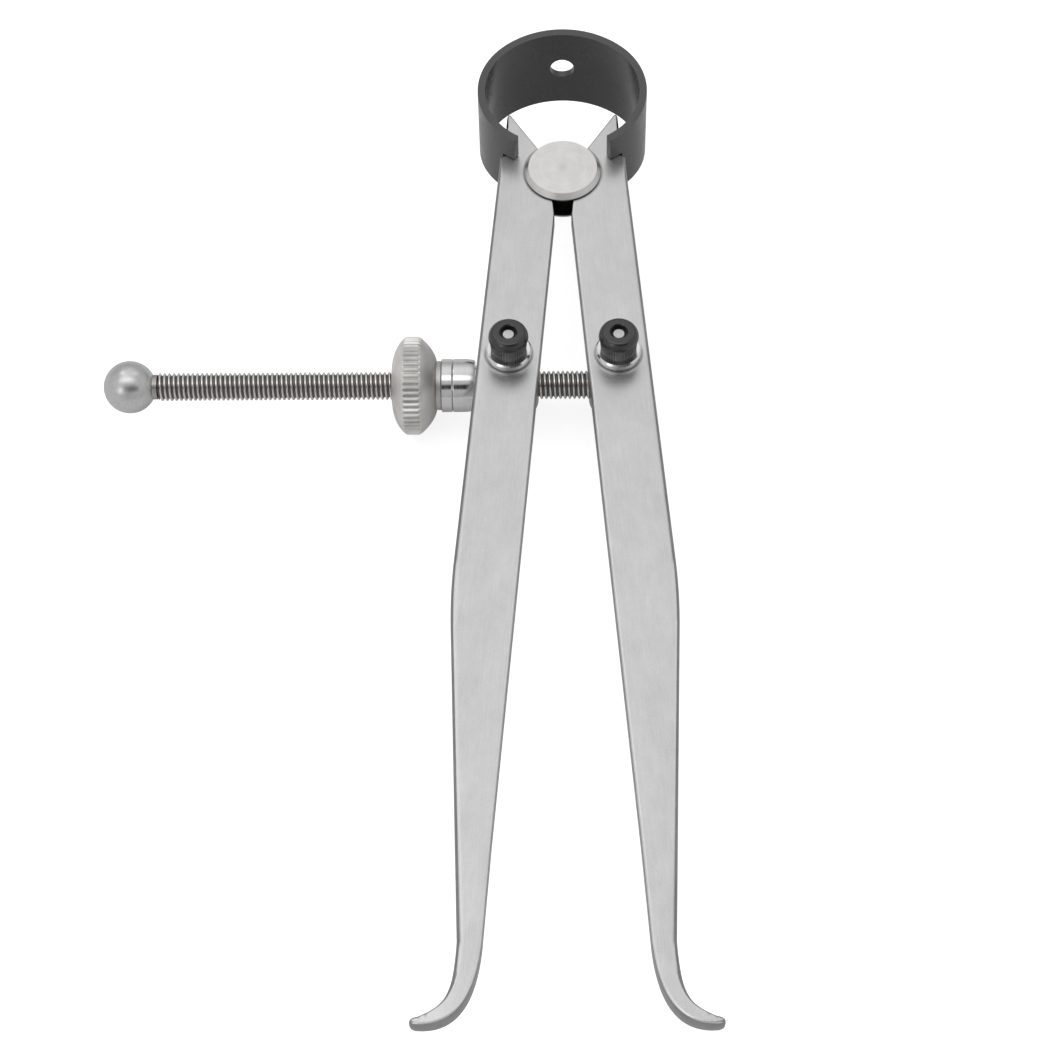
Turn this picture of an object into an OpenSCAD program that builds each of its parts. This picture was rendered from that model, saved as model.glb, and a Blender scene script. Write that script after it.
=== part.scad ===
// Spring inside caliper: two flat legs that roll on a spool, pressed by a bow spring
// and set by a knurled nut on a long screw. Millimetres.
// Frame: the centre of the fulcrum is the origin, +Y points to the bow spring,
// +Z is the front of the legs and +X is to the right seen from the front.

/* [Legs] */
// Length from the centre of the fulcrum to the end of the foot
leg_length = 152.4; // [140:0.1:170]
// Width of the upper leg
leg_width = 9.9; // [9:0.1:11.5]
// Thickness of the leg
leg_thickness = 3.5; // [3:0.1:4.5]
// Angle of each leg to the middle line at rest
leg_angle = 4.6; // [3.5:0.1:8]
// Distance from the middle line to the inner edge of a leg
leg_inset = 0.65; // [0.4:0.05:1]
// Width of the leg at the ankle, above the foot
ankle_width = 3.4; // [2.8:0.1:4.5]
// Distance from the fulcrum to the knee in the outer edge
knee_drop = 83; // [70:1:95]
// Length of the foot, from the ankle to its lowest point
foot_height = 12.7; // [11:0.1:16]
// How far the toe stands out from the inner edge of the leg
toe_reach = 8.95; // [7.5:0.05:10]
// Thickness of the toe, seen from the front
toe_thickness = 1.5; // [1.4:0.1:2]
// Height of the horn above the fulcrum
horn_height = 11.9; // [10:0.1:12.5]
// Step from the outer edge of the leg to the outer edge of the horn
horn_step = 0.45; // [0.3:0.05:0.65]
// Rounding of the front edges on the outside of the leg
edge_round = 0.75; // [0.4:0.05:1]

/* [Fulcrum] */
// Diameter of the core that the legs roll on
core_d = 7.8; // [6.5:0.1:8.6]
// Diameter of the two flanges
flange_d = 12.6; // [11.5:0.1:13]
// Thickness of each flange
flange_thickness = 1.2; // [0.8:0.1:1.8]
// How much smaller the outer face of a flange is, on the radius
flange_taper = 0.65; // [0.3:0.05:0.9]

/* [Bow spring] */
// Width of the ring, outside
bow_width = 28.1; // [27.4:0.1:29]
// Radius of the ring's sides, outside
bow_side_r = 12; // [11.6:0.1:12.4]
// Height of the widest point of the ring above the fulcrum
bow_centre_y = 13.1; // [12.8:0.1:13.5]
// Height of the ring's crown above the fulcrum, outside
bow_crown_y = 25.9; // [25.6:0.1:26.6]
// Thickness of the band
band_thickness = 1.25; // [1:0.05:1.5]
// Width of the band at the crown
band_crown = 16.4; // [14.5:0.1:18]
// Width of the band at the height of the fulcrum
band_end = 12.6; // [11.5:0.1:14]
// Diameter of the hanging hole
hang_hole_d = 4.1; // [3:0.1:5]
// Length of the prongs, from the root of the fork to the tip
prong_length = 2.3; // [1.8:0.1:2.8]
// Height of the notch above the fulcrum, along the leg
notch_height = 4.3; // [4:0.1:4.6]
// Radius of the notch in the leg
notch_r = 1.75; // [1.7:0.05:1.9]

/* [Posts] */
// Distance from the fulcrum to the posts, along the leg
post_drop = 38.1; // [34:0.1:44]
// Diameter of the shank that turns in the leg
shank_d = 4.5; // [4:0.1:5]
// Diameter of the barrel behind the leg
barrel_d = 9.2; // [8.6:0.1:9.8]
// Diameter of the spindle that carries the cap nut
spindle_d = 2.2; // [1.8:0.1:2.4]
// Diameter of the washer
washer_d = 7.2; // [6.6:0.1:8]
// Thickness of the washer
washer_thickness = 1.25; // [0.8:0.05:1.6]
// Height of the cap nut
cap_height = 4.4; // [3.8:0.1:5]
// Largest diameter of the cap nut
cap_d = 6.3; // [5.8:0.1:6.6]
// Diameter of the cap nut where it meets the washer
cap_foot_d = 5.5; // [5.2:0.1:5.8]
// Diameter of the flat top of the cap nut
cap_top_d = 4.9; // [4.5:0.1:5.2]
// Diameter of the recess in the top of the cap nut
recess_d = 2.7; // [2.6:0.1:3.2]

/* [Screw and nut] */
// Outside diameter of the screw
screw_d = 4.5; // [4:0.1:5]
// Depth of the screw's axis behind the middle of the legs
screw_depth = 6.5; // [6.3:0.1:7.5]
// Length of the screw from the left post to the ball
screw_reach = 57; // [50:0.5:65]
// Diameter of the ball
ball_d = 8.4; // [7.5:0.1:9.5]
// Diameter of the nut over the knurl
nut_d = 15.7; // [14:0.1:17]
// Width of the knurled band
knurl_width = 2.65; // [2.2:0.05:3.6]
// Depth of the knurl
knurl_depth = 0.3; // [0.2:0.02:0.4]
// Number of teeth in the knurl
knurl_teeth = 50; // [36:1:56]
// Depth of the dome on the free side of the nut
dome_left = 2.05; // [1.2:0.05:2.4]
// Depth of the dome on the post's side of the nut
dome_right = 2.5; // [1.8:0.1:3]
// Diameter of the nut's neck
neck_d = 7.85; // [7:0.05:8.2]
// Length of the nut's neck
neck_length = 0.7; // [0.5:0.05:1.5]
// Diameter of the thrust ring and of the seat collar
collar_d = 8.5; // [8.2:0.1:8.7]
// Length of the thrust ring
ring_length = 1.8; // [1.1:0.1:2.2]
// Length of the seat collar
collar_length = 3.55; // [2.8:0.05:4.5]
// Diameter of the collar's nose
nose_d = 6.2; // [5.8:0.1:6.8]
// Length of the collar's nose
nose_length = 1.25; // [0.8:0.05:1.8]
// Diameter of the pin that holds the screw in the right post
pin_d = 1.5; // [1:0.1:1.8]

/* [Clearances] */
// Gap round a shank or core that turns in the leg, on the radius
running_gap = 0.05; // [0.03:0.01:0.08]
// Gap between flat faces that slide on each other
face_gap = 0.05; // [0.03:0.01:0.08]
// Gap round a piece that is fixed in another, on the radius
fit_gap = 0.02; // [0.01:0.01:0.03]
// Gap between the prongs and the faces of the leg
prong_gap = 0.15; // [0.1:0.05:0.25]
// Gap round the screw in the left post, on the radius
sliding_gap = 0.1; // [0.08:0.02:0.2]

/* [Hidden] */
$fn = 64;
through = 60;

half_t = leg_thickness / 2;
steel = [0.76, 0.76, 0.76];
dull_steel = [0.62, 0.61, 0.60];
black_oxide = [0.13, 0.13, 0.14];

// Places along the leg, in the leg's own frame: u across, outwards, and v up along the leg
inner_u = leg_inset;
outer_u = leg_inset + leg_width;
horn_u = outer_u - horn_step;
post_u = (inner_u + outer_u) / 2;
ankle_v = foot_height - leg_length;
toe_u = inner_u + toe_reach;
ankle_u = inner_u + ankle_width;
post_x = post_u * cos(leg_angle) + post_drop * sin(leg_angle);
post_y = post_u * sin(leg_angle) - post_drop * cos(leg_angle);

// Helpers for outlines: a point is [u, v, inset of the rounding there, depth of the rounding there]
function lerp(a, b, t) = a + (b - a) * t;
function bezier(p, t) = pow(1 - t, 3) * p[0] + 3 * t * pow(1 - t, 2) * p[1]
    + 3 * t * t * (1 - t) * p[2] + pow(t, 3) * p[3];
function curve(p, steps) = [for (i = [0 : steps]) bezier(p, i / steps)];
function at(u, v, edge) = [u, v, edge[0], edge[1]];
function arc(centre, r, from, to, steps, edge) =
    [for (i = [0 : steps]) at(centre[0] + r * cos(lerp(from, to, i / steps)),
                              centre[1] + r * sin(lerp(from, to, i / steps)), edge)];
function unit(v) = v / norm(v);
function left_of(v) = [-v[1], v[0]];
function rest_of(p) = [for (i = [1 : len(p) - 1]) p[i]];

// Roundings of the leg's edges: [inset across, depth along Z]
front_edge = [edge_round, edge_round];
inner_edge = [1, 1] * edge_round * 0.65;
horn_side = [1, 1] * edge_round * 0.6;
horn_edge = [1, 1] * edge_round * 0.3;
notch_edge = [1, 1] * edge_round * 0.2;
toe_edge = [toe_thickness * 0.27, half_t * 0.86];

// Knee: where the outer edge turns in towards the ankle
knee_v = -knee_drop;
knee_soft = 6;
taper_dir = unit([ankle_u - outer_u, ankle_v - knee_v]);

// Toe: its round end starts toe_bend before the tip on the instep's side and on the sole's side
toe_v = -leg_length;
toe_bend = 1.2;
toe_fullness = 0.2;
toe_top_v = toe_v + toe_thickness - 0.1;

// Notch for the spring, and the horn above it
notch_u = outer_u + 0.18;
notch_clear = 0.25;
horn_base_u = outer_u - 0.7;
shoulder_turn = 6;
horn_root = [2.6, 2.2];
horn_tip_w = 0.5;
horn_lean = 0.05;

// Relief of the inner edge beside the fulcrum
relief_start_v = -9;
relief_end_v = -5;
relief_depth = 0.75;

// Number of steps in each curve of the outline
knee_steps = 10;
foot_steps = 20;
toe_steps = 10;
notch_steps = 12;

// Outline of the right leg, clockwise from the shoulder below the notch
function shoulder() = [at(outer_u, notch_height - notch_r - notch_clear, notch_edge), at(outer_u, -1.5, front_edge),
    at(outer_u, -20, front_edge)];

function knee() = curve([at(outer_u, knee_v + knee_soft, front_edge),
    at(outer_u, knee_v + knee_soft / 3, front_edge),
    at(outer_u + taper_dir[0] * knee_soft / 3, knee_v + taper_dir[1] * knee_soft / 3, front_edge),
    at(outer_u + taper_dir[0] * knee_soft, knee_v + taper_dir[1] * knee_soft, front_edge)], knee_steps);

function instep() = curve([at(ankle_u, ankle_v, front_edge),
    at(ankle_u - ankle_width * 0.075, ankle_v - foot_height * 0.64, front_edge),
    at(ankle_u + toe_reach * 0.09, ankle_v - foot_height * 0.75, toe_edge),
    at(toe_u - toe_bend, toe_top_v, toe_edge)], foot_steps);

function toe() = curve([at(toe_u - toe_bend, toe_top_v, toe_edge),
    at(toe_u + toe_fullness, toe_v + toe_thickness * 0.75, toe_edge),
    at(toe_u + toe_fullness, toe_v + toe_thickness * 0.06, toe_edge),
    at(toe_u - toe_bend, toe_v, toe_edge)], toe_steps);

function sole() = curve([at(toe_u - toe_bend, toe_v, toe_edge),
    at(toe_u - toe_reach * 0.81, toe_v, toe_edge),
    at(inner_u, toe_v + foot_height * 0.42, inner_edge),
    at(inner_u - ankle_width * 0.04, ankle_v, inner_edge)], foot_steps);

function inner_side() = [at(inner_u, ankle_v + 16, inner_edge), at(inner_u, relief_start_v, inner_edge),
    at(inner_u + relief_depth, relief_end_v, notch_edge), at(inner_u + relief_depth * 1.2, 0, notch_edge),
    at(horn_root[0] - 0.6, horn_root[1] - 1, horn_edge), at(horn_root[0], horn_root[1], horn_edge)];

function horn_tip() = [at(horn_u - horn_tip_w, horn_height - 0.1, horn_edge),
    at(horn_u - horn_tip_w / 4, horn_height, horn_edge), at(horn_u + horn_lean, horn_height - 0.6, horn_edge),
    at(horn_u + horn_lean, horn_height - 2.2, horn_side), at(horn_u - horn_lean, notch_height + 2.6, horn_side)];

// The notch is an arc between the horn's outer edge and the shoulder
notch_top_angle = 180 - acos((notch_u - horn_base_u) / notch_r);
notch_low_angle = 180 + acos((notch_u - outer_u) / notch_r) - shoulder_turn;
function notch() = arc([notch_u, notch_height], notch_r, notch_top_angle, notch_low_angle, notch_steps, notch_edge);

function leg_outline() = concat(shoulder(), knee(), instep(), rest_of(toe()), rest_of(sole()),
    inner_side(), horn_tip(), notch());

// Where each stretch of the outline starts in its list of points
at_knee = len(shoulder());
at_instep = at_knee + knee_steps + 1;
at_toe = at_instep + foot_steps;
at_sole = at_toe + toe_steps;
at_ankle = at_sole + foot_steps;
at_inner = at_ankle + 1;
at_root = at_inner + len(inner_side()) - 1;
at_end = at_root + len(horn_tip()) + notch_steps + 1;

// The flat face of the leg, split into faces that can each be seen whole from their first corner
function span(a, b) = [for (i = [a : b]) i];
function face_parts() = concat(
    [concat(span(at_root, at_end), [0, 1])],
    [concat([1, at_knee - 1], span(at_inner + 1, at_root))],
    [concat([at_instep, at_ankle, at_inner, at_inner + 1], span(at_knee - 1, at_instep - 1))],
    [for (i = [0 : foot_steps - 1]) [at_instep + i, at_instep + i + 1, at_ankle - i - 1, at_ankle - i]],
    [span(at_toe, at_sole)]);

// A flat bar with rounded edges: rings of points, each ring set in from the outline by part of the rounding
round_steps = 4;
function inward(p, i) =
    let (n = len(p), a = p[(i + n - 1) % n], b = p[i], c = p[(i + 1) % n],
         d0 = unit([b[0] - a[0], b[1] - a[1]]), d1 = unit([c[0] - b[0], c[1] - b[1]]),
         m = unit(-left_of(d0) - left_of(d1)), k = max(0.5, m * -left_of(d0)))
    m / k;
function ring(p, side, step) =
    let (a = 90 * step / round_steps)
    [for (i = [0 : len(p) - 1])
        let (q = inward(p, i) * p[i][2] * (1 - cos(a)))
        [p[i][0] + q[0], p[i][1] + q[1], side * (half_t - p[i][3] * (1 - sin(a)))]];
function turned_over(p) = [for (i = [0 : len(p) - 1]) p[(len(p) - i) % len(p)]];

module rounded_bar(p, parts) {
    n = len(p);
    rings = concat([for (s = [round_steps : -1 : 0]) ring(p, -1, s)], [for (s = [0 : round_steps]) ring(p, 1, s)]);
    last = (len(rings) - 1) * n;
    points = [for (r = rings) for (q = r) q];
    sides = [for (k = [0 : len(rings) - 2]) for (i = [0 : n - 1]) for (h = [0, 1])
        let (j = (i + 1) % n, a = k * n + i, b = k * n + j, c = a + n, d = b + n)
        h == 0 ? [a, b, d] : [a, d, c]];
    bottom = [for (f = parts) turned_over(f)];
    top = [for (f = parts) [for (i = f) last + i]];
    polyhedron(points, concat(sides, bottom, top), convexity = 8);
}

// Right-hand leg in the caliper's frame
module leg() {
    difference() {
        rotate(leg_angle)
            difference() {
                rounded_bar(leg_outline(), face_parts());
                translate([post_u, -post_drop, -through / 2])
                    cylinder(d = shank_d + 2 * running_gap, h = through);
            }
        translate([0, 0, -through / 2])
            cylinder(d = core_d + 2 * running_gap, h = through);
    }
}

module right_leg() {
    color(steel) leg();
}

module left_leg() {
    color(steel) mirror([1, 0, 0]) leg();
}

// Spool: core between two tapered flanges
flange_in = half_t + face_gap;
flange_out = flange_in + flange_thickness;
module fulcrum_roller() {
    front = [[core_d / 2, flange_in], [flange_d / 2, flange_in],
             [flange_d / 2, flange_in + flange_thickness * 0.15], [flange_d / 2 - flange_taper, flange_out],
             [0, flange_out]];
    color(steel)
        rotate_extrude()
            polygon(concat(front, [for (i = [len(front) - 1 : -1 : 0]) [front[i][0], -front[i][1]]]));
}

// The ring is made of two side arcs and a flatter crown arc that meet without a kink
side_x = bow_width / 2 - bow_side_r;
crown_up = bow_crown_y - bow_centre_y - bow_side_r;
crown_down = (side_x * side_x - crown_up * crown_up) / (2 * crown_up);
crown_r = bow_side_r + sqrt(side_x * side_x + crown_down * crown_down);
crown_cy = bow_centre_y - crown_down;
join_angle = atan2(crown_down, side_x);
mid_r = bow_side_r - band_thickness / 2;

// Where the band crosses the notch of the leg, and where the fork begins and ends
notch_x = notch_u * cos(leg_angle) - notch_height * sin(leg_angle);
notch_y = notch_u * sin(leg_angle) + notch_height * cos(leg_angle);
notch_angle = atan2(notch_y - bow_centre_y, notch_x - side_x);
root_past_notch = 1.1;
root_angle = notch_angle - (root_past_notch / mid_r) * (180 / PI);
end_angle = root_angle - (prong_length / mid_r) * (180 / PI);
slot_half = half_t + prong_gap;
lap = 0.2;

module band_arc(r, from, to) {
    rotate([0, 0, from])
        rotate_extrude(angle = to - from)
            translate([r - band_thickness, -through / 2])
                square([band_thickness, through]);
}

module band_sector(r, from, to, height) {
    rotate([0, 0, from])
        rotate_extrude(angle = to - from)
            translate([r - 2 * band_thickness, -height / 2])
                square([3 * band_thickness, height]);
}

module bow_spring() {
    top_y = bow_crown_y + 1;
    low_y = -1;
    slope = (band_crown - band_end) / 2 / bow_crown_y;
    color(black_oxide)
        difference() {
            intersection() {
                union() {
                    translate([0, crown_cy, 0]) band_arc(crown_r, join_angle - lap, 180 - join_angle + lap);
                    translate([side_x, bow_centre_y, 0]) band_arc(bow_side_r, end_angle, join_angle);
                    mirror([1, 0, 0])
                        translate([side_x, bow_centre_y, 0]) band_arc(bow_side_r, end_angle, join_angle);
                }
                rotate([90, 0, 90])
                    translate([0, 0, -through / 2])
                        linear_extrude(through)
                            polygon([[low_y, -band_end / 2 - slope * low_y], [top_y, -band_end / 2 - slope * top_y],
                                     [top_y, band_end / 2 + slope * top_y], [low_y, band_end / 2 + slope * low_y]]);
            }
            for (side = [0, 1])
                mirror([side, 0, 0])
                    translate([side_x, bow_centre_y, 0])
                        band_sector(bow_side_r, end_angle - 8, root_angle, 2 * slot_half);
            translate([0, crown_cy, 0])
                rotate([-90, 0, 0])
                    cylinder(d = hang_hole_d, h = through);
        }
}

// Heights of the stack on the front of a leg
shank_top = half_t + face_gap;
washer_top = shank_top + washer_thickness;
cap_top = washer_top + cap_height;
recess_depth = 0.9;
spindle_top = cap_top - 0.6;
spindle_edge = 0.25;
barrel_top = -half_t - face_gap;
barrel_bottom = -screw_depth - barrel_d / 2;
barrel_edge = 0.3;
barrel_end_chamfer = 0.8;

// Swivel post in its own frame: the axis of its shank is Z
module post_body() {
    rotate_extrude()
        polygon([[0, barrel_bottom], [barrel_d / 2 - barrel_end_chamfer, barrel_bottom],
                 [barrel_d / 2, barrel_bottom + barrel_end_chamfer], [barrel_d / 2, barrel_top - barrel_edge],
                 [barrel_d / 2 - barrel_edge, barrel_top], [shank_d / 2, barrel_top],
                 [shank_d / 2, shank_top], [spindle_d / 2, shank_top], [spindle_d / 2, spindle_top - spindle_edge],
                 [spindle_d / 2 - spindle_edge, spindle_top], [0, spindle_top + 0.05]]);
}

seat_depth = 0.35;
module left_post() {
    color(dull_steel)
        translate([-post_x, post_y, 0])
            difference() {
                post_body();
                translate([0, 0, -screw_depth])
                    rotate([0, 90, 0])
                        cylinder(d = screw_d + 2 * sliding_gap, h = through, center = true);
                translate([seat_depth - barrel_d / 2 - through / 2, 0, -screw_depth])
                    rotate([0, 90, 0])
                        cylinder(d = nose_d + 2 * face_gap, h = through, center = true);
            }
}

screw_end_wall = 1.2;
screw_end_x = post_x + barrel_d / 2 - screw_end_wall;
module right_post() {
    color(dull_steel)
        translate([post_x, post_y, 0])
            difference() {
                post_body();
                translate([-through, 0, -screw_depth])
                    rotate([0, 90, 0])
                        cylinder(d = screw_d + 2 * fit_gap, h = through + screw_end_x - post_x + face_gap);
                translate([0, 0, -screw_depth])
                    rotate([90, 0, 0])
                        cylinder(d = pin_d + 2 * fit_gap, h = through, center = true);
            }
}

module washer() {
    rim = washer_thickness * 0.2;
    rotate_extrude()
        polygon([[spindle_d / 2 + fit_gap, shank_top], [washer_d / 2 - rim / 2, shank_top],
                 [washer_d / 2, shank_top + rim / 2], [washer_d / 2, washer_top - rim],
                 [washer_d / 2 - rim, washer_top], [spindle_d / 2 + fit_gap, washer_top]]);
}

module left_washer() {
    color(steel) translate([-post_x, post_y, 0]) washer();
}

module right_washer() {
    color(steel) translate([post_x, post_y, 0]) washer();
}

// Cap nut: slim foot, smooth ring, bevelled top and a recess round the spindle's end
module cap_nut() {
    shoulder_z = washer_top + cap_height * 0.68;
    ring_z = washer_top + cap_height * 0.84;
    bore_r = spindle_d / 2 + fit_gap;
    step = 0.15;
    lip = 0.1;
    rotate_extrude()
        polygon([[bore_r, washer_top], [cap_foot_d / 2 - step, washer_top], [cap_foot_d / 2, washer_top + step],
                 [cap_d / 2 - step, shoulder_z - step], [cap_d / 2 - step, shoulder_z], [cap_d / 2, shoulder_z + step],
                 [cap_d / 2 - lip, ring_z], [cap_top_d / 2 + step, cap_top - lip], [cap_top_d / 2, cap_top],
                 [recess_d / 2 + lip, cap_top], [recess_d / 2, cap_top - lip],
                 [recess_d / 2, cap_top - recess_depth], [bore_r, cap_top - recess_depth]]);
}

module left_cap_nut() {
    color(black_oxide) translate([-post_x, post_y, 0]) cap_nut();
}

module right_cap_nut() {
    color(black_oxide) translate([post_x, post_y, 0]) cap_nut();
}

// Stack on the screw, from the left post outwards; each x is the left end of its piece
nose_x = -post_x - barrel_d / 2 + seat_depth;
collar_right = nose_x - nose_length;
collar_left = collar_right - collar_length;
ring_right = collar_left - face_gap;
ring_left = ring_right - ring_length;
nut_right = ring_left - face_gap;
neck_left = nut_right - neck_length;
knurl_right = neck_left - dome_right;
knurl_left = knurl_right - knurl_width;
nut_left = knurl_left - dome_left;

// Screw, with a plain neck, a dark groove and a spigot for the ball
neck_x = -post_x - screw_reach;
ball_overlap = 0.35;
ball_x = neck_x - ball_d / 2 + ball_overlap;
spigot_d = screw_d * 0.6;
groove_r = screw_d * 0.42;
groove_width = 0.5;
screw_chamfer = 0.4;

module on_screw_axis(x) {
    translate([x, post_y, -screw_depth]) rotate([0, 90, 0]) children();
}

module adjusting_screw() {
    total = screw_end_x - neck_x;
    color(dull_steel)
        difference() {
            on_screw_axis(neck_x)
                rotate_extrude()
                    polygon([[0, -ball_d / 2], [spigot_d / 2, -ball_d / 2], [spigot_d / 2, 0],
                             [groove_r, 0], [groove_r, groove_width], [screw_d / 2, groove_width],
                             [screw_d / 2, total - screw_chamfer], [screw_d / 2 - screw_chamfer, total],
                             [0, total]]);
            translate([post_x, post_y, -screw_depth])
                rotate([90, 0, 0])
                    cylinder(d = pin_d + 2 * fit_gap, h = through, center = true);
        }
}

module ball_end() {
    color(steel)
        difference() {
            on_screw_axis(ball_x) sphere(d = ball_d);
            on_screw_axis(neck_x - ball_d / 2 - face_gap) cylinder(d = spigot_d + 2 * fit_gap, h = through);
            on_screw_axis(neck_x - face_gap) cylinder(d = ball_d, h = through);
        }
}

module anchor_pin() {
    reach = sqrt(barrel_d * barrel_d / 4 - pin_d * pin_d / 4) - 0.1;
    color(dull_steel)
        translate([post_x, post_y, -screw_depth])
            rotate([90, 0, 0])
                cylinder(d = pin_d, h = 2 * reach, center = true);
}

// Knurled outline of the nut: one tooth and one gap for each step round
tooth_lean = 0.25;
function tooth_r(k) = (k % 4 == 1 || k % 4 == 2) ? nut_d / 2 : nut_d / 2 - knurl_depth;
module knurl_outline() {
    polygon([for (k = [0 : 4 * knurl_teeth - 1])
        let (a = 360 * (k + (k % 4 == 1 ? tooth_lean : k % 4 == 2 ? -tooth_lean : 0)) / (4 * knurl_teeth))
        [tooth_r(k) * cos(a), tooth_r(k) * sin(a)]]);
}

module adjusting_nut() {
    bore_r = screw_d / 2 + sliding_gap / 2;
    edge = 0.35;
    dome_steps = 10;
    rim_r = nut_d / 2 - edge * 0.6;
    left_dome = curve([[0, bore_r], [0, nut_d * 0.26], [dome_left * 0.25, nut_d * 0.40], [dome_left, rim_r]],
                      dome_steps);
    right_x = dome_left + knurl_width;
    right_dome = curve([[right_x, rim_r], [right_x + dome_right * 0.45, nut_d * 0.43],
                        [right_x + dome_right * 0.9, nut_d * 0.34], [right_x + dome_right, neck_d / 2]],
                       dome_steps);
    color(steel)
        on_screw_axis(nut_left)
            intersection() {
                rotate_extrude()
                    polygon(concat(
                        [for (p = left_dome) [p[1], p[0]]],
                        [[nut_d / 2, dome_left + edge], [nut_d / 2, right_x - edge]],
                        [for (p = right_dome) [p[1], p[0]]],
                        [[neck_d / 2, right_x + dome_right + neck_length],
                         [bore_r, right_x + dome_right + neck_length]]));
                translate([0, 0, -1]) linear_extrude(through) knurl_outline();
            }
}

chamfer = 0.15;
module thrust_ring() {
    bore_r = screw_d / 2 + sliding_gap;
    color(steel)
        on_screw_axis(ring_left)
            rotate_extrude()
                polygon([[bore_r, 0], [collar_d / 2 - chamfer, 0], [collar_d / 2, chamfer],
                         [collar_d / 2, ring_length - chamfer], [collar_d / 2 - chamfer, ring_length],
                         [bore_r, ring_length]]);
}

module seat_collar() {
    bore_r = screw_d / 2 + sliding_gap;
    color(steel)
        on_screw_axis(collar_left)
            rotate_extrude()
                polygon([[bore_r, 0], [collar_d / 2 - chamfer, 0], [collar_d / 2, chamfer],
                         [collar_d / 2, collar_length * 0.45], [collar_d / 2 - 0.3, collar_length - 0.2],
                         [collar_d / 2 - 0.5, collar_length], [nose_d / 2, collar_length],
                         [nose_d / 2, collar_length + nose_length], [bore_r, collar_length + nose_length]]);
}

left_leg();
right_leg();
bow_spring();
fulcrum_roller();
left_post();
right_post();
left_washer();
right_washer();
left_cap_nut();
right_cap_nut();
adjusting_screw();
ball_end();
anchor_pin();
adjusting_nut();
thrust_ring();
seat_collar();
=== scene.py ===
import math

import bmesh
import bpy
from mathutils import Matrix, Vector


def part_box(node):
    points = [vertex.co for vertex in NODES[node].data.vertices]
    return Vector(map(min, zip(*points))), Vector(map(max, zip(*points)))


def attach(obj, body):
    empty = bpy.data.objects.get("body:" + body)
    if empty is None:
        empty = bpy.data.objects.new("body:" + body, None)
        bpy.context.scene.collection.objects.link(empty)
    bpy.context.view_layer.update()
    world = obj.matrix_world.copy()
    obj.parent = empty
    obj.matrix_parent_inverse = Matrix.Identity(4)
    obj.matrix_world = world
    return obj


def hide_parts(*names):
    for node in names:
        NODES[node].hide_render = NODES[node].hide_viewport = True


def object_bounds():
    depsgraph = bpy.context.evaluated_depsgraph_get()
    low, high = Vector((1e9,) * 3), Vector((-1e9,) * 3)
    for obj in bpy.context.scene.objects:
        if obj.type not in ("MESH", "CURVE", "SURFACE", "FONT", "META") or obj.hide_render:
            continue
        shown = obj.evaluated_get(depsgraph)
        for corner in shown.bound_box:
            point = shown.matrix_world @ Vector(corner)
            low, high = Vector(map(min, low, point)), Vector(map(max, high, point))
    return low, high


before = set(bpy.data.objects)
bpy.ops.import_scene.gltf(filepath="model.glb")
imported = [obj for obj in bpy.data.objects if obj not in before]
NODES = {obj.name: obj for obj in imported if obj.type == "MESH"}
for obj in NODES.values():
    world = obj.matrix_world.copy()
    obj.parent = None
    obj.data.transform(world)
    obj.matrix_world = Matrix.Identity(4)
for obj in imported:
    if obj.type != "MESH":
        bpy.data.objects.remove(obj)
cad_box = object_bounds()

# The caliper's sizes below are in millimetres; Blender's own lengths are in metres
MM = 0.001

# Legs: the worn outer edge widens towards the ankle and ends before the toe
LEG_ANGLE = math.radians(4.6)
ANKLE_RISE = 9.0
TOE_LENGTH = 7.5
TOE_THINNING = 0.42
TOE_CURVE = 1.5
EDGE_WIDENS_FROM = -20
EDGE_WIDE_FROM = -75
EDGE_WIDENING = 0.38
EDGE_ENDS_RISE = 4.5
EDGE_FACING = 0.3
FACE_SKIN = 0.01
# Painted contact shadow round each seat on a leg: its gap from the seat, where it is full, its
# width and its darkness
SEAT_LINE_GAP = 0.1
SEAT_LINE_FULL = 0.05
SEAT_LINE_WIDTH = 0.32
SEAT_SHADOW_DARKNESS = 1.8

# Fulcrum: where the painted shade on the core and on the flange's side ends, where the flange is
# full, and the radii of the centre mark
CORE_END = 1.95
FLANGE_START = 2.1
CENTRE_MARK = (0.15, 0.8)

# Screw: thread, plain neck beside the ball and the groove between them
THREAD_PITCH = 0.75
THREAD_STEPS = 32
THREAD_CREST = 2.25
THREAD_ROOT = 1.82
CREST_EDGE = 0.04
THREAD_FORM = [(THREAD_ROOT, 0), (THREAD_CREST - CREST_EDGE, 0.26), (THREAD_CREST, 0.32),
               (THREAD_CREST, 0.5), (THREAD_CREST - CREST_EDGE, 0.56), (THREAD_ROOT, 0.82),
               (THREAD_ROOT, 1)]   # radius, and the share of the pitch
SPARE_TURNS = 2   # the thread is made too long, and cut at both ends
EARLY_TURNS = 1.5
NECK_LENGTH = 0.75
NECK_R = 2.0
NECK_EDGE = 0.02
GROOVE_LENGTH = 0.2
GROOVE_R = 1.35
GROOVE_EDGE = 0.05
CORE_OVERLAP = 0.15
BALL_OVERLAP = 0.1

# Seat collar: an end that closes in, and the nose that sits in the left post
SEAT_NOSE = 1.25
SEAT_NOSE_R = 3.1
COLLAR_BORE = THREAD_CREST + 0.1
COLLAR_EDGE = 0.15
COLLAR_CORNER_SHARE = 0.3
COLLAR_SUPPORT = 0.08
COLLAR_CURVE_FROM = 0.45
COLLAR_CURVE_STEPS = 8
COLLAR_DROP = 0.18

# Knurled nut, between a left and a right dome, with painted shade on the right one's inner part
DOME_LEFT = 2.05
KNURL_WIDTH = 2.65
KNURL_DEPTH = 0.3
KNURL_SHADE_DARKNESS = 1.9
NECK_SHADE_RADII = (4.4, 7.2)
NECK_SHADE_DARKNESS = 0.9

# Roundings of the edges of the nut and the spring
NUT_ROUNDING = 0.05
SPRING_ROUNDING = 0.12

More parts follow.
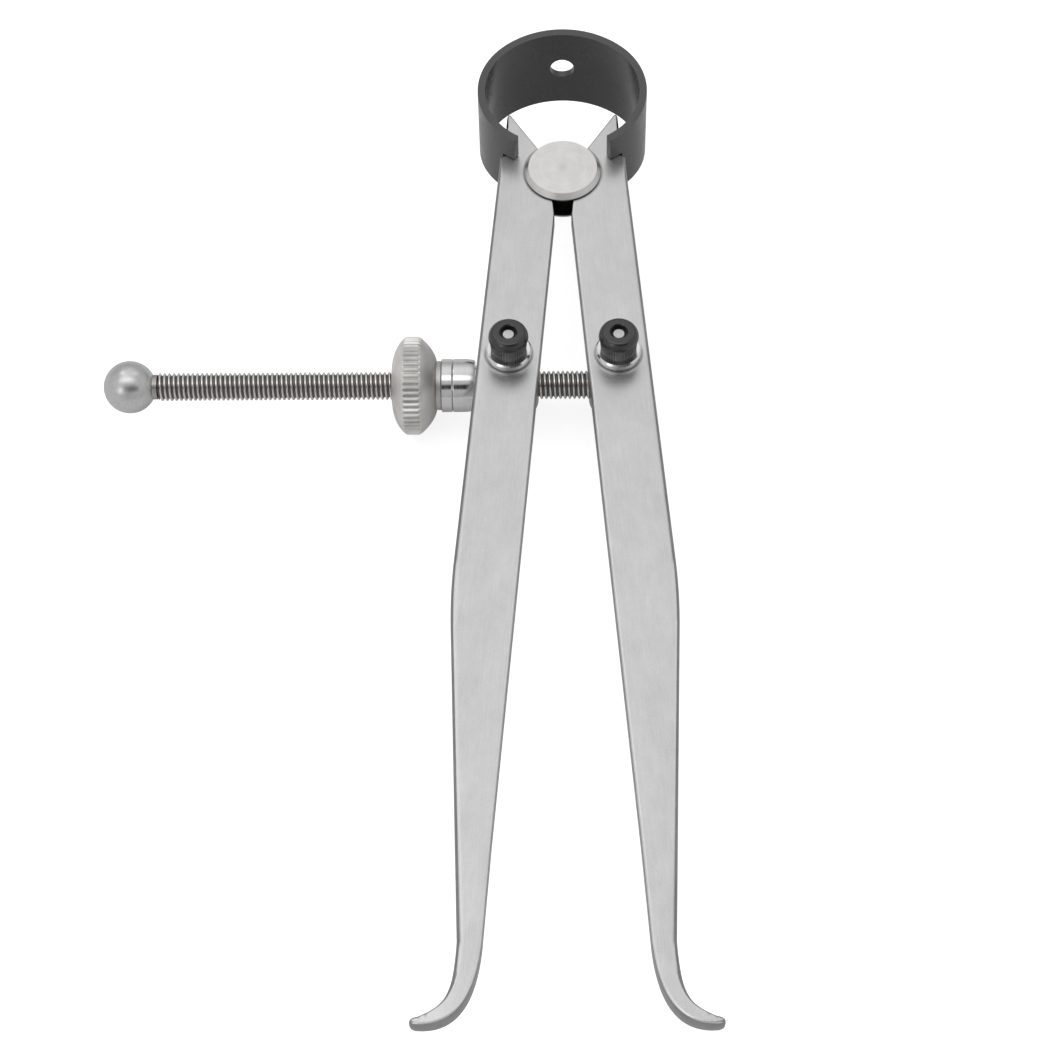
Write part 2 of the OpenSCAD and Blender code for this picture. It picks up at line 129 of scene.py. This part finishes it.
# Cap nuts: fine ridges below a smooth lip, and a recess round the post's end
CAP_RIDGES = 44
CAP_RIDGE_DEPTH = 0.1
CAP_RIDGES_SHARE = 0.66
CAP_RIDGE_MARGIN = 0.05
CAP_RIDGE_BAND = 0.6
CAP_BORE = 1.07
CAP_RECESS_R = 1.35
CAP_RECESS_EDGE = 0.12
CAP_RECESS_DEPTH = 0.9

# Points that are nearer than this are merged, in metres
CAD_MERGE = 1e-6
THREAD_MERGE = 2e-6
TURNED_MERGE = 1e-7

# Edges that turn by more degrees than this stay sharp
LEG_SHARP = 42
SPRING_SHARP = 35
COLLAR_SHARP = 30
THREAD_SHARP = 28
NUT_SHARP = 25
CAP_SHARP = 24

# Patches of the studio's sky: where they are, how much they are squeezed along X (less than 1
# makes a strip), the angles where they are full and where they end, and the gain
SKY_PATCHES = [((-0.02, 0.68, 1), 1, 6, 34, 1.62),
               ((-0.30, 0.36, 0.87), 1, 5, 12, 1.5),
               ((-0.42, 0.5, 0.75), 1, 3, 8, 3.0),
               ((0.42, 0.5, 0.75), 1, 3, 8, 2.8),
               ((-0.15, -0.06, 1), 0.3, 8, 14, 2.8),
               ((-1, -0.3, 0.15), 1, 25, 60, 1.3),
               ((1, -0.3, 0.15), 1, 25, 60, 1.3),
               ((0.35, -0.68, 0.72), 0.3, 10, 14, 0.06),
               ((-0.565, -0.66, 0.495), 1, 6, 13, 3.0)]
SKY_LEVEL = 0.46
SKY_RISE = 0.1
SKY_FULL_HEIGHT = 0.9
FLOOR_SIZE = 3
PAPER_GLOW = 0.75
PAPER_MIRRORED = 0.17


class Shade:
    """One value in a material; plain arithmetic on it adds the Math nodes."""

    def __init__(self, nodes, socket):
        self.nodes = nodes
        self.socket = socket

    def math(self, operation, *others):
        values = [self, *others]
        return self.nodes.add("ShaderNodeMath", {"operation": operation}, values)[0]

    def __add__(self, other):
        return self.math("ADD", other)

    def __sub__(self, other):
        return self.math("SUBTRACT", other)

    def __rsub__(self, other):
        return (self * -1) + other

    def __mul__(self, other):
        return self.math("MULTIPLY", other)

    def __pow__(self, other):
        return self.math("POWER", other)

    __radd__ = __add__
    __rmul__ = __mul__

    def between(self, low, high):
        """0 below low, 1 above high and a straight rise between them."""
        settings = {"interpolation_type": "LINEAR", "clamp": True}
        return self.nodes.add("ShaderNodeMapRange", settings, [self, low, high, 0.0, 1.0])[0]

    def spread(self):
        """Nearly all of a cloud's values, stretched to the whole of 0 to 1."""
        return self.between(0.3, 0.7)

    def size(self):
        return self.math("ABSOLUTE")

    def ripple(self):
        return self.math("SINE")


class Nodes:
    """A shader node tree, with its last shader to feed."""

    def __init__(self, tree, shader):
        self.tree = tree
        self.shader = shader

    def set(self, name, value):
        self.shader.inputs[name].default_value = value

    def feed(self, name, shade):
        self.tree.links.new(shade.socket, self.shader.inputs[name])

    def add(self, kind, settings=None, values=()):
        """A node of that kind; its values are numbers, colours or Shades, in order or by name."""
        node = self.tree.nodes.new(kind)
        for name, value in (settings or {}).items():
            setattr(node, name, value)
        items = values.items() if isinstance(values, dict) else enumerate(values)
        for key, value in items:
            if isinstance(value, Shade):
                self.tree.links.new(value.socket, node.inputs[key])
            else:
                node.inputs[key].default_value = value
        return [Shade(self, socket) for socket in node.outputs if socket.enabled]

    def named(self, kind, name):
        """One output of a node that takes no inputs."""
        return next(shade for shade in self.add(kind) if shade.socket.name == name)

    def vector(self, operation, *values):
        return self.add("ShaderNodeVectorMath", {"operation": operation}, values)[0]

    def place(self, centre=(0, 0, 0), turn=(0, 0, 0), scale=(1, 1, 1)):
        """Object coordinates, in millimetres, measured from a centre, turned and stretched."""
        picked = self.named("ShaderNodeTexCoord", "Object")
        shifted = self.vector("SUBTRACT", picked, tuple(c * MM for c in centre))
        turned = self.add("ShaderNodeVectorRotate", {"rotation_type": "EULER_XYZ"},
                          {"Vector": shifted, "Rotation": turn})[0]
        return self.vector("MULTIPLY", turned, tuple(s / MM for s in scale))

    def parts(self, vector):
        return self.add("ShaderNodeSeparateXYZ", None, [vector])

    def join(self, x, y, z):
        return self.add("ShaderNodeCombineXYZ", None, [x, y, z])[0]

    def cloud(self, vector, lumps, detail=2.0, rough=0.5):
        """Noise from 0 to 1 with that many lumps to a millimetre."""
        values = {"Vector": vector, "Scale": lumps, "Detail": detail, "Roughness": rough}
        return self.add("ShaderNodeTexNoise", {"noise_dimensions": "3D"}, values)[0]

    def mix(self, name, shade, low, high):
        """Feeds an input with a colour between two, by the shade."""
        mixed = self.add("ShaderNodeMix", {"data_type": "RGBA", "clamp_factor": False},
                         {0: shade, 6: (*low, 1), 7: (*high, 1)})
        self.feed(name, mixed[0])


class Finish(Nodes):
    """A material for one finish, with one Principled shader."""

    def __init__(self, name, color, roughness, metallic):
        self.material = bpy.data.materials.new(name)
        self.material.use_nodes = True
        tree = self.material.node_tree
        super().__init__(tree, tree.nodes["Principled BSDF"])
        self.set("Base Color", (*color, 1))
        self.set("Roughness", roughness)
        self.set("Metallic", metallic)

    def tint(self, shade, low, high):
        """A base colour between two, by the shade."""
        self.mix("Base Color", shade, low, high)

    def bump(self, height, depth):
        """Raises the surface by the height, which is worth that depth in millimetres."""
        values = {"Height": height, "Distance": depth * MM}
        self.feed("Normal", self.add("ShaderNodeBump", None, values)[0])


def grey(value, warmth=0.0):
    return (value * (1 + warmth), value, value * (1 - warmth))


def scaled(color, factor):
    return tuple(min(1.0, c * factor) for c in color)


def around(color, contrast):
    """A darker and a brighter colour on both sides of this one."""
    return scaled(color, 1 - contrast), scaled(color, 1 + contrast)


def painted_edge_light(finish, side):
    """Painted shade along the leg's edges, and a painted highlight where the inner rounding faces
    up.
    """
    across, up, facing = finish.parts(finish.named("ShaderNodeNewGeometry", "Normal"))
    edge = 1 - facing.size().between(0.92, 0.99)
    rounding = facing.size().between(0.4, 0.65)
    inner = (across * -side - up).between(0.1, 0.4)
    bright, dark = 3.5, 1.9
    return edge * (inner * rounding * bright - dark)


def seat_shadow_line(x, y, seat):
    """1 on the painted contact shadow round a seat, given as (x, y, radius), and 0 away from it."""
    seat_x, seat_y, radius = seat
    away = ((x - seat_x) ** 2 + (y - seat_y) ** 2) ** 0.5 - (radius + SEAT_LINE_GAP)
    return 1 - away.size().between(SEAT_LINE_FULL, SEAT_LINE_WIDTH)


def leg_finish(name, side, seats):
    """Ground steel: fine lines along the leg, faint blotches, painted shade and a painted highlight
    on the edges, and a painted contact shadow round each seat.
    """
    base = grey(0.7)
    dark, bright = scaled(base, 0.82), scaled(base, 1.07)
    finish = Finish(name, base, 0.3, 1.0)
    turn = (0, 0, -side * LEG_ANGLE)
    lines = finish.cloud(finish.place(turn=turn, scale=(9, 0.22, 9)), 1.0, 3.0)
    blotches = finish.cloud(finish.place(turn=turn, scale=(1, 0.6, 1)), 0.3, 3.0, 0.6)
    speckle = finish.cloud(finish.place(), 5.0)
    shade = lines * 0.3 + blotches * 0.4 + speckle * 0.3
    x, y, _ = finish.parts(finish.place())
    # Painted contact shadow round the washer's and the roller's seats
    seat_shadow = sum(seat_shadow_line(x, y, seat) for seat in seats)
    # Painted shade and a painted highlight along the edges, and the painted contact shadow round
    # the seats
    light = shade.spread() + painted_edge_light(finish, side) - seat_shadow * SEAT_SHADOW_DARKNESS
    finish.tint(light, dark, bright)
    finish.feed("Roughness", shade.between(0.25, 0.75) * 0.1 + 0.28)
    finish.bump(lines, 0.006)
    return finish.material


def spring_finish():
    """Blued spring steel: nearly black, glossy, slightly uneven."""
    dark, bright = grey(0.014, -0.03), grey(0.026, -0.03)
    finish = Finish("spring_black", grey(0.016), 0.26, 0.0)
    cloud = finish.cloud(finish.place(), 0.45, 4.0, 0.6)
    fine = finish.cloud(finish.place(scale=(1, 1, 7)), 3.0, 3.0)
    shade = cloud * 0.6 + fine * 0.4
    finish.tint(shade.spread(), dark, bright)
    finish.feed("Roughness", cloud.spread() * 0.12 + 0.18)
    finish.set("IOR", 1.85)
    return finish.material


def turned_finish(centre):
    """Turned and polished steel: fine rings round the screw's axis."""
    color, ring_pitch = grey(0.74), 0.15
    finish = Finish("bright_steel", color, 0.16, 1.0)
    x, y, z = finish.parts(finish.place(centre))
    radius = (y * y + z * z) ** 0.5
    wobble = finish.cloud(finish.join(radius * 3.0, x * 3.0, 0.0), 1.0, 4.0, 0.7)
    turns = (radius + x) * (2 * math.pi / ring_pitch)
    rings = (turns + wobble * 5.0).ripple() * 0.5 + 0.5
    shade = rings * 0.35 + wobble * 0.65
    finish.tint(shade.between(0.25, 0.75), *around(color, 0.06))
    finish.feed("Roughness", wobble.spread() * 0.1 + 0.11)
    finish.bump(rings, 0.002)
    return finish.material


def roller_finish():
    """Fulcrum: faced in a lathe, with a centre mark, and painted shade on the core between the legs
    and on the flange's side just above them.
    """
    color, shaded_core_level = grey(0.8, 0.015), 0.18
    finish = Finish("roller_steel", color, 0.3, 1.0)
    x, y, z = finish.parts(finish.place())
    radius = (x * x + y * y) ** 0.5
    wobble = finish.cloud(finish.join(radius * 2.0, z * 2.0, 0.0), 1.0, 4.0, 0.7)
    blotches = finish.cloud(finish.place(), 0.5, 3.0)
    mark = 1 - radius.between(*CENTRE_MARK)
    flange = z.size().between(CORE_END, FLANGE_START)
    # Painted shade on the core between the legs and on the flange's side just above them
    shade = (wobble * 0.5 + blotches * 0.5).spread() - mark * 0.5
    light = (shade * 0.2 + 0.8) * (flange * (1 - shaded_core_level) + shaded_core_level)
    finish.tint(light, grey(0.0), scaled(color, 1.06))
    finish.feed("Roughness", wobble * 0.1 + 0.25)
    finish.bump((radius * 18.0 + wobble * 4.0).ripple(), 0.002)
    return finish.material


def screw_finish(centre):
    """Cut thread: painted shade in the dark roots, and a painted highlight on the brighter crests.
    """
    shaded_root, highlit_crest = grey(0.17, 0.07), grey(0.84, 0.025)
    finish = Finish("screw_steel", grey(0.42), 0.33, 1.0)
    _, y, z = finish.parts(finish.place(centre))
    crest = ((y * y + z * z) ** 0.5).between(THREAD_ROOT, THREAD_CREST)
    cloud = finish.cloud(finish.place(), 1.2, 3.0)
    # Painted shade in the roots and a painted highlight on the crests
    finish.tint(crest * (cloud * 0.6 + 0.6), shaded_root, highlit_crest)
    finish.feed("Roughness", 0.36 - crest * 0.12)
    return finish.material


def satin_finish(name, color, roughness):
    """Plain satin metal with a fine grain."""
    finish = Finish(name, color, roughness, 1.0)
    grain = finish.cloud(finish.place(), 2.5, 4.0, 0.6)
    finish.tint(grain.spread(), *around(color, 0.08))
    finish.feed("Roughness", grain * 0.1 + (roughness - 0.05))
    finish.bump(grain, 0.006)
    return finish.material


def nut_finish(centre, band_r):
    """Satin nickel, with painted shade in the knurl's grooves and on the right dome's inner part.
    """
    color = (0.88, 0.865, 0.84)
    dark, bright = scaled(color, 0.86), scaled(color, 1.04)
    half_band = KNURL_WIDTH / 2
    finish = Finish("nut_nickel", color, 0.42, 1.0)
    x, y, z = finish.parts(finish.place(centre))
    radius = (y * y + z * z) ** 0.5
    in_band = 1 - x.size().between(half_band - 0.12, half_band)
    # Painted shade in the knurl's grooves
    groove = 1 - radius.between(band_r - KNURL_DEPTH * 0.95, band_r - KNURL_DEPTH * 0.6)
    grain = finish.cloud(finish.place(), 3.0, 4.0, 0.6)
    smudge = finish.cloud(finish.place(scale=(1, 0.6, 0.6)), 0.5)
    # Painted shade on the right dome's inner part, next to the ring
    neck_shade = x.between(half_band, half_band + 0.3) * (1 - radius.between(*NECK_SHADE_RADII))
    shade = grain.spread() * 0.3 + smudge.between(0.35, 0.65) * (0.7 - neck_shade * 1.6)
    light = shade - groove * in_band * KNURL_SHADE_DARKNESS - neck_shade * NECK_SHADE_DARKNESS
    finish.tint(light, dark, bright)
    finish.feed("Roughness", grain * 0.1 + 0.38)
    finish.bump(grain, 0.005)
    return finish.material


def cap_finish():
    """Blackened nut with a slight oily gloss."""
    finish = Finish("cap_black", grey(0.01), 0.24, 0.0)
    grain = finish.cloud(finish.place(), 2.0, 3.0)
    finish.tint(grain, grey(0.006), grey(0.014))
    finish.feed("Roughness", grain * 0.12 + 0.18)
    finish.set("IOR", 1.75)
    return finish.material


def to_object(name, bm):
    mesh = bpy.data.meshes.new(name)
    bm.to_mesh(mesh)
    bm.free()
    obj = bpy.data.objects.new(name, mesh)
    bpy.context.scene.collection.objects.link(obj)
    return obj


def finished(obj, material, body):
    obj.data.materials.clear()
    obj.data.materials.append(material)
    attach(obj, body)


def dress(node, material):
    """Keeps the CAD node's shape and gives it a material."""
    NODES[node].data.materials.clear()
    NODES[node].data.materials.append(material)


def smooth(obj, degrees):
    """Smooth shading, with sharp edges above that angle."""
    bm = bmesh.new()
    bm.from_mesh(obj.data)
    for face in bm.faces:
        face.smooth = True
    for edge in bm.edges:
        closed = len(edge.link_faces) == 2
        edge.smooth = closed and edge.calc_face_angle(0) < math.radians(degrees)
    bm.to_mesh(obj.data)
    bm.free()


def merged_copy(node):
    """The CAD node's shape again, with its points merged."""
    bm = bmesh.new()
    bm.from_mesh(NODES[node].data)
    bmesh.ops.remove_doubles(bm, verts=bm.verts, dist=CAD_MERGE)
    return bm


def rounded_copy(node, name, width, sharp):
    """The CAD node's shape again, with its sharp edges rounded."""
    bm = merged_copy(node)
    bmesh.ops.dissolve_limit(bm, angle_limit=math.radians(0.5), verts=bm.verts, edges=bm.edges)
    obj = to_object(name, bm)
    bevel = obj.modifiers.new("rounding", "BEVEL")
    bevel.width = width * MM
    bevel.segments = 2
    bevel.limit_method = "ANGLE"
    bevel.angle_limit = math.radians(sharp)
    bevel.harden_normals = True
    smooth(obj, sharp)
    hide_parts(node)
    return obj


def way_out(vert, face_level):
    """Which way the side below a point of the leg's front face goes out, or None inside it."""
    below = [edge.other_vert(vert).co - vert.co for edge in vert.link_edges
             if edge.other_vert(vert).co.z < face_level]
    if vert.co.z < face_level or not below:
        return None
    return min(below, key=lambda step: step.length).xy.normalized()


def widen_outer_edge(bm, outwards):
    """Makes the rounding along the leg's outer edge wider, most at the ankle, not at the toe."""
    face_level = max(vert.co.z for vert in bm.verts) - FACE_SKIN * MM
    bottom = min(vert.co.y for vert in bm.verts)
    for vert in bm.verts:
        out = way_out(vert, face_level)
        if out is None or max(out.x * outwards, out.y) <= EDGE_FACING:
            continue
        share = (EDGE_WIDENS_FROM - vert.co.y / MM) / (EDGE_WIDENS_FROM - EDGE_WIDE_FROM)
        fade = ((vert.co.y - bottom) / MM - EDGE_ENDS_RISE) / EDGE_ENDS_RISE
        shift = out * EDGE_WIDENING * MM * max(0.0, min(1.0, share, fade))
        vert.co.x -= shift.x
        vert.co.y -= shift.y


def thin_toe(bm, bottom, tip, outwards):
    """Thins the front of the foot towards its tip."""
    for vert in bm.verts:
        past_ankle = 1 - (vert.co.y - bottom) / (ANKLE_RISE * MM)
        reach = 1 - (tip - vert.co.x * outwards) / (TOE_LENGTH * MM)
        thin = max(0.0, min(past_ankle, reach))
        if vert.co.z > 0:
            vert.co.z *= 1 - TOE_THINNING * thin ** TOE_CURVE


def polished_leg(node, body, material):
    """The leg again, smooth all over, with a worn outer edge and its toe thinned to a round tip."""
    bm = merged_copy(node)
    low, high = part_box(node)
    outwards = -1 if low.x + high.x < 0 else 1
    widen_outer_edge(bm, outwards)
    thin_toe(bm, low.y, max(abs(low.x), abs(high.x)), outwards)
    obj = to_object(node + "_polished", bm)
    smooth(obj, LEG_SHARP)
    weighted = obj.modifiers.new("flat_faces", "WEIGHTED_NORMAL")
    weighted.keep_sharp = True
    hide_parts(node)
    finished(obj, material, body)


def spun(points, steps, angle, rise, merge):
    """A line of (radius, height) points turned about Z, with a rise in metres at each step."""
    bm = bmesh.new()
    verts = [bm.verts.new((r * MM, 0, h * MM)) for r, h in points]
    edges = [bm.edges.new(pair) for pair in zip(verts, verts[1:])]
    bmesh.ops.spin(bm, geom=verts + edges, cent=(0, 0, 0), axis=(0, 0, 1), dvec=(0, 0, rise),
                   angle=angle, steps=steps, use_merge=rise == 0)
    bmesh.ops.remove_doubles(bm, verts=bm.verts, dist=merge)
    bmesh.ops.recalc_face_normals(bm, faces=bm.faces)
    return bm


def lathe(points, steps):
    """A closed turned shape about Z."""
    return spun(points, steps, 2 * math.pi, 0, TURNED_MERGE)


def cut_flat(bm, height, keep_above):
    """Cuts the shape at that height and closes the cut."""
    cut = bmesh.ops.bisect_plane(bm, geom=bm.verts[:] + bm.edges[:] + bm.faces[:],
                                 dist=TURNED_MERGE, plane_co=(0, 0, height * MM),
                                 plane_no=(0, 0, 1), clear_inner=keep_above,
                                 clear_outer=not keep_above)
    rim = [e for e in cut["geom_cut"] if isinstance(e, bmesh.types.BMEdge)]
    bmesh.ops.holes_fill(bm, edges=rim, sides=0)


def threaded_rod(start, end):
    """A rod along Z with a real helical thread, from start to end."""
    turns = math.ceil((end - start) / THREAD_PITCH) + SPARE_TURNS
    form = [(r, start + (share - EARLY_TURNS) * THREAD_PITCH) for r, share in THREAD_FORM]
    bm = spun(form, THREAD_STEPS * turns, 2 * math.pi * turns,
              THREAD_PITCH * MM / THREAD_STEPS, THREAD_MERGE)
    cut_flat(bm, start, True)
    cut_flat(bm, end, False)
    return bm


def take_in(bm, other):
    """Adds the other shape to this one."""
    carrier = bpy.data.meshes.new("carrier")
    other.to_mesh(carrier)
    other.free()
    bm.from_mesh(carrier)
    bpy.data.meshes.remove(carrier)


def laid_along_x(bm, place):
    """Turns a shape made along Z so that it runs along X, and sets it at a place in metres."""
    turn = Matrix.Rotation(math.pi / 2, 4, "Y")
    bmesh.ops.transform(bm, verts=bm.verts, matrix=Matrix.Translation(place) @ turn)


def adjusting_screw():
    """The screw again, with its thread, and the neck and the groove beside the ball."""
    low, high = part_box("adjusting_screw")
    axis = (low + high) / 2
    ball_side = (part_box("ball_end")[1].x - low.x) / MM - BALL_OVERLAP
    neck_end = ball_side + NECK_LENGTH
    thread_start = neck_end + GROOVE_LENGTH
    core_end = thread_start + CORE_OVERLAP
    bm = threaded_rod(thread_start, (high.x - low.x) / MM)
    take_in(bm, lathe([(0, 0), (GROOVE_R, 0), (GROOVE_R, ball_side),
                       (NECK_R, ball_side + NECK_EDGE), (NECK_R, neck_end),
                       (GROOVE_R, neck_end + GROOVE_EDGE), (GROOVE_R, core_end),
                       (0, core_end)], 48))
    laid_along_x(bm, (low.x, axis.y, axis.z))
    obj = to_object("screw_with_thread", bm)
    smooth(obj, THREAD_SHARP)
    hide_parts("adjusting_screw")
    material = screw_finish((0, axis.y / MM, axis.z / MM))
    finished(obj, material, "right_swivel")


def seat_collar(material):
    """The collar again: its end towards the post closes in with a soft curve."""
    low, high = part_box("seat_collar")
    axis = (low + high) / 2
    radius = (high.y - low.y) / MM / 2
    whole = (high.x - low.x) / MM
    wide = whole - SEAT_NOSE
    corner = COLLAR_EDGE * COLLAR_CORNER_SHARE
    curve_start = wide * COLLAR_CURVE_FROM
    curve_length = wide - COLLAR_EDGE - curve_start
    profile = [(COLLAR_BORE, 0), (radius - COLLAR_EDGE, 0), (radius - corner, corner),
               (radius, COLLAR_EDGE), (radius, COLLAR_EDGE + COLLAR_SUPPORT)]
    for step in range(COLLAR_CURVE_STEPS + 1):
        part = step / COLLAR_CURVE_STEPS
        profile.append((radius - COLLAR_DROP * part ** 2, curve_start + curve_length * part))
    profile += [(radius - COLLAR_DROP - COLLAR_EDGE, wide), (SEAT_NOSE_R, wide),
                (SEAT_NOSE_R, whole), (COLLAR_BORE, whole), (COLLAR_BORE, 0)]
    bm = lathe(profile, 96)
    laid_along_x(bm, (low.x, axis.y, axis.z))
    obj = to_object("seat_collar_curved", bm)
    smooth(obj, COLLAR_SHARP)
    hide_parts("seat_collar")
    finished(obj, material, "left_swivel")


def press_ridges(bm, steps, ridges_end, inner_r):
    """Draws every second row of points in, between the foot and the lip."""
    for vert in bm.verts:
        radius = math.hypot(vert.co.x, vert.co.y) / MM
        height = vert.co.z / MM
        turn = round(math.atan2(vert.co.y, vert.co.x) / (2 * math.pi) * steps)
        ridged = CAP_RIDGE_MARGIN < height < ridges_end - CAP_RIDGE_MARGIN and radius > inner_r
        if ridged and turn % 2:
            shrink = 1 - CAP_RIDGE_DEPTH / radius
            vert.co.x *= shrink
            vert.co.y *= shrink


def cap_nut(side, material):
    """The cap nut again, with its ridges, its lip and its recess."""
    node = side + "_cap_nut"
    low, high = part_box(node)
    middle = (low + high) / 2
    tall = (high.z - low.z) / MM
    widest = (high.x - low.x) / MM / 2
    ridges_end = tall * CAP_RIDGES_SHARE
    steps = CAP_RIDGES * 2
    ridged = [(CAP_BORE, 0), (widest - 0.48, 0), (widest - 0.36, 0.12),
              (widest - 0.16, ridges_end - 0.15), (widest - 0.1, ridges_end)]
    lip = [(widest, ridges_end + 0.12), (widest - 0.06, tall * 0.8), (widest - 0.2, tall * 0.88),
           (widest - 0.5, tall - 0.16), (widest - 0.72, tall - 0.03), (widest - 0.85, tall)]
    recess = [(CAP_RECESS_R + CAP_RECESS_EDGE, tall), (CAP_RECESS_R, tall - CAP_RECESS_EDGE),
              (CAP_RECESS_R, tall - CAP_RECESS_DEPTH), (CAP_BORE, tall - CAP_RECESS_DEPTH),
              (CAP_BORE, 0)]
    bm = lathe(ridged + lip + recess, steps)
    press_ridges(bm, steps, ridges_end, widest - CAP_RIDGE_BAND)
    bmesh.ops.transform(bm, verts=bm.verts,
                        matrix=Matrix.Translation((middle.x, middle.y, low.z)))
    obj = to_object(side + "_cap_with_ridges", bm)
    smooth(obj, CAP_SHARP)
    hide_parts(node)
    finished(obj, material, side + "_swivel")


def make_camera():
    """The photograph's view: the caliper lies flat, seen from its feet's side, 56 degrees up."""
    frame_px = 1062
    focal_px = 2870
    sensor_mm = 36
    fulcrum_px = (562.68, 179.0)
    fulcrum_distance = 0.4746
    elevation = math.radians(56.3)
    azimuth = math.radians(-1.114)
    roll = math.radians(1.2)
    forward = Vector((math.sin(azimuth) * math.cos(elevation),
                      math.cos(azimuth) * math.cos(elevation),
                      -math.sin(elevation)))
    right = Vector((math.cos(azimuth), -math.sin(azimuth), 0))
    up = right.cross(forward)
    side = right * math.cos(roll) - up * math.sin(roll)
    top = right * math.sin(roll) + up * math.cos(roll)
    offset_x = (fulcrum_px[0] - frame_px / 2) / focal_px
    offset_y = (frame_px / 2 - fulcrum_px[1]) / focal_px
    place = -(forward + side * offset_x + top * offset_y) * fulcrum_distance
    data = bpy.data.cameras.new("camera")
    data.sensor_width = sensor_mm
    data.lens = sensor_mm * focal_px / frame_px
    data.clip_start = 0.01
    data.clip_end = 20
    camera = bpy.data.objects.new("camera", data)
    axes = Matrix((side, top, -forward)).transposed()
    camera.matrix_world = Matrix.Translation(place) @ axes.to_4x4()
    bpy.context.scene.collection.objects.link(camera)
    bpy.context.scene.camera = camera


def make_floor():
    """A plain pale floor just under the caliper, which the camera sees white, with its shadow."""
    bm = bmesh.new()
    bmesh.ops.create_grid(bm, x_segments=1, y_segments=1, size=FLOOR_SIZE,
                          matrix=Matrix.Translation((0, 0, cad_box[0][2])))
    floor = to_object("floor", bm)
    paper = Finish("paper", grey(0.6), 0.9, 0.0)
    paper.set("Specular IOR Level", 0.0)
    paper.set("Emission Strength", PAPER_GLOW)
    seen = paper.named("ShaderNodeLightPath", "Is Camera Ray")
    mirrored = paper.named("ShaderNodeLightPath", "Is Glossy Ray")
    paper.mix("Emission Color", seen + mirrored * PAPER_MIRRORED, grey(0.0), grey(1.0))
    floor.data.materials.append(paper.material)


def sky_patch(sky, way, aim, squeeze, inner, outer):
    """1 inside a patch of the sky and 0 outside it."""
    middle = Vector((aim[0] * squeeze, aim[1], aim[2])).normalized()
    pointed = sky.vector("NORMALIZE", sky.vector("MULTIPLY", way, (squeeze, 1, 1)))
    near = sky.vector("DOT_PRODUCT", pointed, tuple(middle))
    return near.between(math.cos(math.radians(outer)), math.cos(math.radians(inner)))


def make_sky():
    """A studio of soft boxes: the steel mirrors its bright and dark parts."""
    world = bpy.data.worlds.new("studio")
    bpy.context.scene.world = world
    world.use_nodes = True
    sky = Nodes(world.node_tree, world.node_tree.nodes["Background"])
    way = sky.named("ShaderNodeTexCoord", "Generated")
    height = sky.parts(way)[2]
    level = height.between(0.0, SKY_FULL_HEIGHT) * SKY_RISE + SKY_LEVEL
    for *patch, gain in SKY_PATCHES:
        level = level * (sky_patch(sky, way, *patch) * (gain - 1) + 1)
    sky.mix("Color", level, grey(0.0), grey(1.0))
    sky.set("Strength", 1.0)


def make_lamp(name, place, aim, width, power):
    data = bpy.data.lights.new(name, "AREA")
    data.shape = "SQUARE"
    data.size = width
    data.energy = power
    lamp = bpy.data.objects.new(name, data)
    lamp.location = place
    lamp.rotation_euler = (Vector(aim) - Vector(place)).to_track_quat("-Z", "Y").to_euler()
    lamp.visible_glossy = False
    bpy.context.scene.collection.objects.link(lamp)


def round_seat(node):
    """Where a round piece lies on a leg, as (x, y, radius) in millimetres."""
    low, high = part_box(node)
    middle = (low + high) / 2 / MM
    return middle.x, middle.y, (high.x - low.x) / MM / 2


def make_legs():
    for side, sign in (("left", -1), ("right", 1)):
        seats = [round_seat(side + "_washer"), round_seat("fulcrum_roller")]
        material = leg_finish(side + "_leg_steel", sign, seats)
        polished_leg(side + "_leg", side + "_arm", material)


def make_spring():
    spring = rounded_copy("bow_spring", "spring_band", SPRING_ROUNDING, SPRING_SHARP)
    finished(spring, spring_finish(), "spring")


def make_nut():
    """The nut and the bright ring and collar beside it, which share its axis."""
    low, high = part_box("adjusting_nut")
    axis = (low + high) / 2 / MM
    nut = rounded_copy("adjusting_nut", "knurled_nut", NUT_ROUNDING, NUT_SHARP)
    band_middle = (low.x / MM + DOME_LEFT + KNURL_WIDTH / 2, axis.y, axis.z)
    material = nut_finish(band_middle, (high.y - low.y) / MM / 2)
    finished(nut, material, "nut")
    bright_steel = turned_finish(tuple(axis))
    dress("thrust_ring", bright_steel)
    seat_collar(bright_steel)


def make_swivels():
    """The posts with their washers and cap nuts, and the pin that holds the screw."""
    washer_steel = satin_finish("washer_steel", grey(0.8), 0.15)
    post_steel = satin_finish("post_steel", grey(0.6), 0.3)
    cap_black = cap_finish()
    for side in ("left", "right"):
        dress(side + "_washer", washer_steel)
        dress(side + "_post", post_steel)
        cap_nut(side, cap_black)
    dress("anchor_pin", post_steel)


make_camera()
make_floor()
make_sky()
make_lamp("softbox_left", place=(-0.5, 0.1, 0.6), aim=(0, -0.05, 0), width=0.35, power=1.0)

make_legs()
dress("fulcrum_roller", roller_finish())
make_spring()
adjusting_screw()
dress("ball_end", satin_finish("ball_steel", grey(0.63), 0.32))
make_nut()
make_swivels()

bpy.context.scene.view_settings.view_transform = "Standard"
